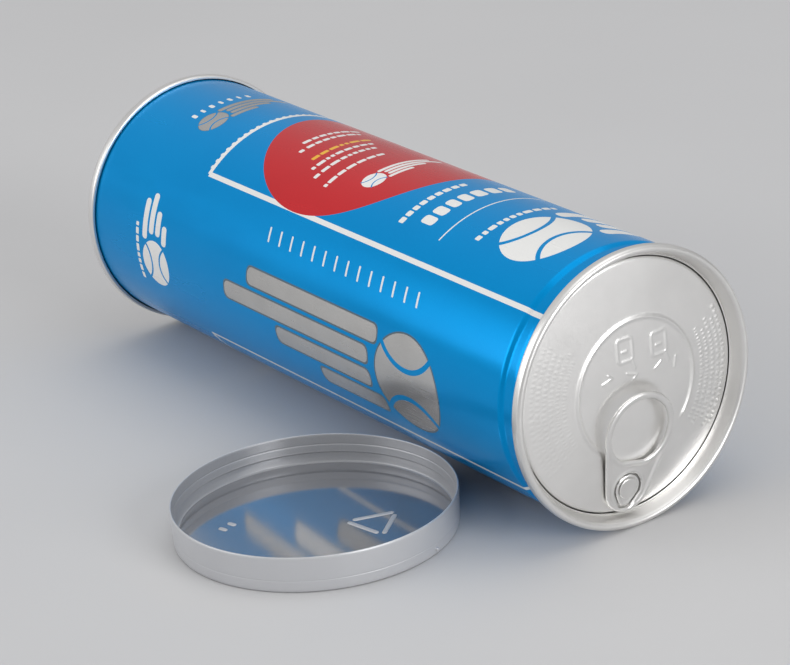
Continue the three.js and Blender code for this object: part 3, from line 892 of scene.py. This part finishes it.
def rounded_plate(outlines, heights, frame_matrix, spacing=0.32):
    """A closed plate inside the first outline, the others being holes; heights gives its top and bottom."""
    loops = [evenly(outline, spacing) for outline in outlines]
    arrays = [np.array(loop) for loop in loops]
    low, high = arrays[0].min(0), arrays[0].max(0)
    spots = np.array([
        (x + (spacing / 2 if row % 2 else 0), y)
        for row, y in enumerate(np.arange(low[1], high[1], spacing * 0.87))
        for x in np.arange(low[0], high[0], spacing)
    ])
    inside = inside_loop(spots, arrays[0])
    for hole in arrays[1:]:
        inside &= ~inside_loop(spots, hole)
    spots = spots[inside]
    near = np.min([edge_distance(spots, loop) for loop in arrays], axis=0)
    spots = spots[near > spacing * 0.35]
    points, loops_at = [], []
    for loop in loops:
        loops_at.append(list(range(len(points), len(points) + len(loop))))
        points += loop
    points += [tuple(p) for p in spots]
    cut = geometry.delaunay_2d_cdt([Vector(p) for p in points], [], loops_at, 0, 1e-6)
    faces = [list(face) for face, own in zip(cut[2], cut[5]) if list(own) == [0]]
    flat = np.array([tuple(p) for p in cut[0]])
    near = [edge_distance(flat, loop) for loop in arrays]
    on_edge = np.min(near, axis=0) < 1e-4
    every = [frame_matrix @ Vector((*spot, h)) for level in heights(near) for spot, h in zip(flat, level)]
    under = [[i if on_edge[i] else len(flat) + i for i in reversed(face)] for face in faces]
    used = sorted({i for face in faces + under for i in face})
    renumber = {old: new for new, old in enumerate(used)}
    return [every[i] for i in used], [[renumber[i] for i in face] for face in faces + under]


def inside_loop(spots, loop):
    """Whether each spot lies inside a closed loop, by counting crossings."""
    result = np.zeros(len(spots), bool)
    for (x0, y0), (x1, y1) in zip(loop, np.roll(loop, -1, axis=0)):
        crosses = (y0 > spots[:, 1]) != (y1 > spots[:, 1])
        if abs(y1 - y0) > 1e-12:
            result ^= crosses & (spots[:, 0] < (x1 - x0) * (spots[:, 1] - y0) / (y1 - y0) + x0)
    return result


def curled(distance, half, width):
    """Height of a curled edge: up from the middle of the sheet over a round of the width given."""
    share = np.clip(distance / width, 0, 1)
    return half * np.sqrt(1 - (1 - share) ** 2)


def pull_tab(matrix):
    """The ring and its web: curled rims, a sunk middle, and a lip round the slot that frees the tongue."""
    slot = keyhole(TONGUE_R + SLOT_GAP, TONGUE_NECK + SLOT_GAP, TONGUE_END_U - SLOT_GAP)
    outlines = [tab_outline(), ring_hole(), slot]

    def heights(near):
        from_rim, from_slot = np.minimum(near[0], near[1]), near[2]
        rim = curled(from_rim, TAB_HALF, TAB_CURL)
        slot_edge = curled(from_slot, 0.3, 0.35)
        sunk = TAB_HALF - WEB_SINK * np.clip((from_rim - WEB_START) / WEB_RUN, 0, 1)
        lip = 0.16 * ring_bump(from_slot - 0.75, 0.35)
        top = np.minimum(np.minimum(rim, sunk + lip), slot_edge + 0.6 * np.clip(from_slot / 0.5, 0, 1))
        under = TAB_HALF - 0.25 * np.clip((from_rim - 0.95) / 0.5, 0, 1)
        return top, -np.minimum(rim, np.minimum(under, slot_edge + from_slot))

    points, faces = rounded_plate(outlines, heights, matrix)
    piece("ring_tab", points, faces, [TAB_ALU], "tab", "pull_tab", sharp=75)


def tongue(matrix):
    """The part of the tab under the rivet, a little below the web, with a raised rim."""
    hole = arc_points(RIVET_U, TONGUE_HOLE_R, 0, 2 * math.pi, 36)[:-1]

    def heights(near):
        edge = curled(np.minimum(near[0], near[1]), 0.2, 0.18)
        lip = 0.16 * ring_bump(near[0] - 0.55, 0.35)
        return edge + lip - TONGUE_DROP, -TONGUE_DROP - edge

    outline = keyhole(TONGUE_R, TONGUE_NECK, TONGUE_END_U)
    points, faces = rounded_plate([outline, hole], heights, matrix, 0.28)
    piece("rivet_tongue", points, faces, [TAB_ALU], "panel", "tab_tongue", sharp=75)


def rivet(matrix):
    """The staked rivet: a foot, a shank through the tongue and a flat head, dished in the middle."""
    shank = [(0, -0.75), (2.4, -0.75), (1.6, -0.5), (1.6, 0.15)]
    head = [(2.75, 0.15), (2.9, 0.3), (2.72, 0.5), (1.9, 0.5), (0, 0.34)]
    outline = softened(shank + head, 0.3, 4)

    def place(radius, angle, height):
        return matrix @ Vector((radius * math.cos(angle), RIVET_U + radius * math.sin(angle), height))

    points, faces = turned(outline, 72, place)
    piece("rivet_head", points, faces, [TAB_ALU], "panel", "tab_rivet", sharp=60)


# ---- overcap


def cap_place():
    low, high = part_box("overcap")
    return (low.x + high.x) / 2 / MM, (low.y + high.y) / 2 / MM, low.z / MM


def floor_level(radius):
    """Height of the cap's shallow dished floor, on its upper face."""
    return CAP_FLOOR_TOP - CAP_DISH * (1 - (radius / CAP_FLOOR_R) ** 2)


def overcap():
    """The moulded lid: a dished floor in a foot ring, a snap bead inside its wall, a faint line outside."""
    x, y, z = cap_place()
    dish = [(r, floor_level(r)) for r in np.linspace(0, CAP_FLOOR_R, 18)]
    underside = [(r, h - CAP_FLOOR_THICK) for r, h in dish[:-1]]
    outside = [
        (CAP_FOOT_IN_R, 0.02), (CAP_FOOT_R - 0.9, 0.0), (CAP_FOOT_R - 0.1, 0.25), (CAP_FOOT_R + 0.02, 1.1),
        (CAP_FOOT_R + 0.12, 3.2), (CAP_FOOT_R + 0.06, 3.4), (CAP_FOOT_R + 0.14, 3.6), (CAP_RIM_R, 9.6),
    ]
    rim = [(CAP_RIM_R - 0.12, CAP_HEIGHT - 0.02), (CAP_RIM_R - 0.5, CAP_HEIGHT), (CAP_RIM_R - 0.68, 9.75)]
    inside = [
        (CAP_POCKET_R, 7.4), (CAP_POCKET_R + 0.1, 7.2), (CAP_SNAP_R + 0.15, 6.9), (CAP_SNAP_R, 5.4),
        (CAP_SNAP_R - 0.1, 5.0), (CAP_POCKET_R, CAP_SNAP_Z), (CAP_POCKET_R - 0.05, 3.6),
        (CAP_POCKET_R - 0.35, CAP_FLOOR_TOP + 0.4), (CAP_POCKET_R - 1.0, CAP_FLOOR_TOP + 0.05),
    ]
    line = [*underside, *outside, *rim, *inside, *reversed(dish)]
    outline = [line[0], *softened(line[1:-1], 0.35, 4), line[-1]]
    points, faces = turned(outline, TURN_STEPS, upright((x, y, z)))

    def side(face):
        """0 outside, 1 on the floor, 2 on the inside of the wall, which gets the darker silver that is
        painted shade.
        """
        radius = sum(math.hypot(points[i][0] - x, points[i][1] - y) for i in face) / len(face)
        height = sum(points[i][2] - z for i in face) / len(face)
        if radius < CAP_POCKET_R - 0.9:
            return 1
        return 2 if radius < CAP_RIM_R - 0.55 and height > CAP_FLOOR_TOP + 0.1 else 0

    piece(
        "overcap_shell", points, faces, [CAP_WALL, CAP_GLOSS, CAP_INSIDE_PAINTED_SHADE], "overcap", "overcap",
        [side(face) for face in faces], sharp=40,
    )


def cap_marks():
    """Raised on the floor, a triangle of bars and two short bars; outside, the gate's nub and another."""
    x, y, z = cap_place()

    def bar_heights(near):
        return curled(near[0], 0.2, 0.22), -0.02 + 0 * near[0]

    def bar(name, start, end):
        foot, far = (Vector((*spot, floor_level(math.hypot(*spot)) - 0.05)) for spot in (start, end))
        run = far - foot
        along = run.normalized()
        beside = Vector((0, 0, 1)).cross(along).normalized()
        turn = Matrix((along, beside, along.cross(beside))).transposed().to_4x4()
        matrix = Matrix.Translation(Vector((x, y, z)) + foot) @ turn
        half = CAP_BAR_WIDTH / 2
        near_end = on_circle((0, 0), half, np.linspace(math.pi / 2, 1.5 * math.pi, 10))
        far_end = on_circle((run.length, 0), half, np.linspace(-math.pi / 2, math.pi / 2, 10))
        plate, faces = rounded_plate([near_end + far_end], bar_heights, matrix, 0.2)
        piece(name, plate, faces, [CAP_WALL], "overcap", None, sharp=80)

    corners = on_circle(CAP_TRIANGLE, CAP_TRIANGLE_R, np.radians((-20, 100, 220)))
    for i, (start, end) in enumerate(zip(corners, corners[1:] + corners[:1])):
        near = tuple(s + 0.1 * (e - s) for s, e in zip(start, end))
        far = tuple(s + 0.82 * (e - s) for s, e in zip(start, end))
        bar(f"cap_floor_bar_{i + 1}", near, far)
    for i in range(2):
        bar(f"cap_floor_dot_{i + 1}", (-14.6 - i, -20.6 + 3.4 * i), (-13.2 - i, -20.2 + 3.4 * i))
    for name, angle, height, size in (("cap_gate_nub", 21, 1.6, 0.5), ("cap_small_nub", 225, 8.2, 0.28)):
        outline = softened([(0, -size), (size, -size * 0.9), (size * 1.1, size * 0.6), (0, size)], 0.3, 4)
        spot = on_circle((x, y), CAP_FOOT_R + 0.1, [math.radians(angle)])[0]
        points, faces = turned(outline, 20, upright((*spot, z + height)))
        piece(name, points, faces, [CAP_WALL], "overcap", None)


# ---- balls


def curve_point(t, aside):
    """A point of the unit seam curve, moved aside along the ball by an angle."""
    point = Vector((
        CURVE_A * math.cos(t) + CURVE_B * math.cos(3 * t),
        CURVE_A * math.sin(t) - CURVE_B * math.sin(3 * t),
        CURVE_C * math.sin(2 * t),
    ))
    along = Vector((
        -CURVE_A * math.sin(t) - 3 * CURVE_B * math.sin(3 * t),
        CURVE_A * math.cos(t) - 3 * CURVE_B * math.cos(3 * t),
        2 * CURVE_C * math.cos(2 * t),
    )).normalized()
    side = point.cross(along).normalized()
    return point * math.cos(aside) + side * math.sin(aside)


def felt_mesh(steps=110, rows=30):
    """One dog-bone of felt: arcs across it, a rolled-down edge by its cut rim, and a little fluff."""
    dice = random.Random(3)
    inset = (GLUE_HALF_WIDTH + 0.35) / BALL_R
    points, grids = [], []
    for side in (0, 1):
        grid = []
        for i in range(steps + 1):
            t = -math.pi / 4 + math.pi * i / steps
            start, end = curve_point(t, inset), curve_point(-math.pi / 2 - t, inset)
            turn = start.rotation_difference(end)
            row = []
            for j in range(rows + 1 if 0 < i < steps else 1):
                share = 0.5 - 0.5 * math.cos(math.pi * j / rows)
                part = turn.slerp(turn.__class__(), 1 - share)
                spot = part @ start
                from_edge = min(share, 1 - share) * start.angle(end) * BALL_R
                from_tip = min(i, steps - i) / steps * FELT_TIP
                drop = FELT_ROLL * math.exp(-min(from_edge, from_tip) / FELT_ROLL_REACH)
                fluff = dice.uniform(-FELT_FLUFF, FELT_FLUFF)
                radius = BALL_R - drop + fluff - FELT_SUNK if side == 0 else BALL_R - FELT_THICK
                row.append(len(points))
                points.append(spot * radius)
            grid.append(row)
        grids.append(grid)
    faces = []

    def patch(grid, i, j):
        """Four neighbours of the grid, whose first and last rows are single points."""
        corners = ((grid[i], j), (grid[i + 1], j), (grid[i + 1], j + 1), (grid[i], j + 1))
        return [row[min(k, len(row) - 1)] for row, k in corners]

    def quad(a, b, c, d):
        face = list(dict.fromkeys((a, b, c, d)))
        if len(face) > 2:
            faces.append(face)

    outer, inner = grids
    for i in range(steps):
        for j in range(rows):
            quad(*patch(outer, i, j))
            a, b, c, d = patch(inner, i, j)
            quad(a, d, c, b)
        quad(outer[i][0], inner[i][0], inner[i + 1][0], outer[i + 1][0])
        quad(outer[i + 1][-1], inner[i + 1][-1], inner[i][-1], outer[i][-1])
    return points, outward(points, faces)


def glue_mesh(steps=240):
    """The glue line round the ball, with a rounded top."""
    section = [(-1, GLUE_BOTTOM_R), (-1, GLUE_TOP_R - 0.35), (-0.6, GLUE_TOP_R), (0.6, GLUE_TOP_R),
               (1, GLUE_TOP_R - 0.35), (1, GLUE_BOTTOM_R)]
    half = GLUE_HALF_WIDTH / BALL_R
    points = []
    for i in range(steps):
        points += [curve_point(2 * math.pi * i / steps, half * side) * radius for side, radius in section]
    wide = len(section)
    faces = []
    for i in range(steps):
        for k in range(wide):
            here, there = i * wide, ((i + 1) % steps) * wide
            faces.append([here + k, here + (k + 1) % wide, there + (k + 1) % wide, there + k])
    return points, outward(points, faces)


def balls():
    felt, felt_faces = felt_mesh()
    glue, glue_faces = glue_mesh()
    for number in (1, 2, 3):
        corners = [corner for half in "ab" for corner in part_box(f"ball_{number}_felt_{half}")]
        low = Vector([min(c[k] for c in corners) for k in range(3)])
        high = Vector([max(c[k] for c in corners) for k in range(3)])
        spin = (Matrix.Rotation(0.5 * number, 4, "X") @ Matrix.Rotation(0.9 - 1.3 * number, 4, "Y")
                @ Matrix.Rotation(0.4 * number, 4, "Z"))
        placed = Matrix.Translation((low + high) / 2 / MM) @ spin
        body = f"ball_{number}"
        for half, turn in (("a", Matrix()), ("b", Matrix.Rotation(math.pi, 4, "X"))):
            spots = [placed @ turn @ p for p in felt]
            node = f"{body}_felt_{half}"
            piece(f"{body}_nap_{half}", spots, felt_faces, [FELT], body, node, sharp=60)
        spots = [placed @ p for p in glue]
        piece(f"{body}_glue", spots, glue_faces, [GLUE], body, f"{body}_glue_seam")


# ---- carried-over solids, stage and camera


def dress_frame():
    """The solids that stay as they are, inside the can, get their materials."""
    for name, node in frame["nodes"].items():
        material = RUBBER if "core" in name else COMPOUND if "seal" in name else None
        if material is not None:
            node.data.materials.clear()
            node.data.materials.append(material)


def floor():
    """A pale studio sheet."""
    look = Look("studio_sheet", Specular_IOR_Level=0.08)
    mottle = look.noise(6, detail=3)
    share = look.ranged(mottle)
    look.drive("Base Color", look.blended(share, "c3c3c4", "c6c6c7"))
    look.drive("Roughness", look.ranged(look.noise(300), 0.3, 0.7, 0.75, 0.85))
    look.bump((look.noise(1500), 0.01))
    half = 4.0
    mesh = bpy.data.meshes.new("studio_floor")
    corners = [(-half, -half, 0), (half, -half, 0), (half, half, 0), (-half, half, 0)]
    mesh.from_pydata(corners, [], [(0, 1, 2, 3)])
    mesh.materials.append(look.made)
    linked("studio_floor", mesh)


def softbox(name, spot, size, power):
    """An area light that faces the can."""
    light = bpy.data.lights.new(name, "AREA")
    light.shape = "RECTANGLE"
    light.size, light.size_y = size
    light.energy = power
    made = linked(name, light)
    made.location = spot
    made.rotation_euler = (can_middle - Vector(spot)).to_track_quat("-Z", "Y").to_euler()
    made.visible_camera = False


def studio():
    """A soft key by the ring-pull end, boxes overhead and in front, and a dim room darker below."""
    world = bpy.data.worlds.new("studio_room")
    world.use_nodes = True
    tree = world.node_tree
    background = tree.nodes["Background"]
    spot = tree.nodes.new("ShaderNodeTexCoord")
    split = tree.nodes.new("ShaderNodeSeparateXYZ")
    ramp = tree.nodes.new("ShaderNodeValToRGB")
    tree.links.new(spot.outputs["Generated"], split.inputs[0])
    tree.links.new(split.outputs["Z"], ramp.inputs[0])
    tree.links.new(ramp.outputs[0], background.inputs[0])
    stops = ramp.color_ramp.elements
    stops[0].position, stops[0].color = 0.0, (0.5, 0.5, 0.51, 1)
    stops[1].position, stops[1].color = 1.0, (0.9, 0.9, 0.9, 1)
    for place, level in ((0.02, 0.55), (0.24, 0.56), (0.4, 0.66)):
        stop = stops.new(place)
        stop.color = (level, level, level * 1.01, 1)
    background.inputs[1].default_value = 0.78
    bpy.context.scene.world = world
    softbox("key_box", (1.5, 0.2, 0.5), (0.8, 0.7), 11.5)
    softbox("top_box", (0.0, 0.3, 1.5), (1.8, 1.2), 5)
    softbox("front_box", (-0.8, -1.7, 0.8), (1.8, 1.1), 15)


def camera():
    data = bpy.data.cameras.new("camera")
    data.sensor_width = 36
    data.lens = CAMERA_LENS
    data.clip_start, data.clip_end = 0.01, 50
    made = linked("camera", data)
    back = Vector((
        math.sin(CAMERA_AZIMUTH) * math.cos(CAMERA_ELEVATION),
        -math.cos(CAMERA_AZIMUTH) * math.cos(CAMERA_ELEVATION),
        math.sin(CAMERA_ELEVATION),
    ))
    right = Vector((math.cos(CAMERA_AZIMUTH), math.sin(CAMERA_AZIMUTH), 0))
    up = back.cross(right)
    rolled_right = math.cos(CAMERA_ROLL) * right + math.sin(CAMERA_ROLL) * up
    rolled_up = math.cos(CAMERA_ROLL) * up - math.sin(CAMERA_ROLL) * right
    turn = Matrix((rolled_right, rolled_up, back)).transposed().to_4x4()
    made.matrix_world = Matrix.Translation(can_middle + CAMERA_OFFSET) @ turn
    bpy.context.scene.camera = made


camera()
can_body()
bottom_end()
end_ring()
tear_panel()
tab_matrix = tab_frame()
pull_tab(tab_matrix)
tongue(tab_matrix)
rivet(tab_matrix)
overcap()
cap_marks()
balls()
dress_frame()
floor()
studio()
bpy.context.scene.view_settings.view_transform = "Standard"
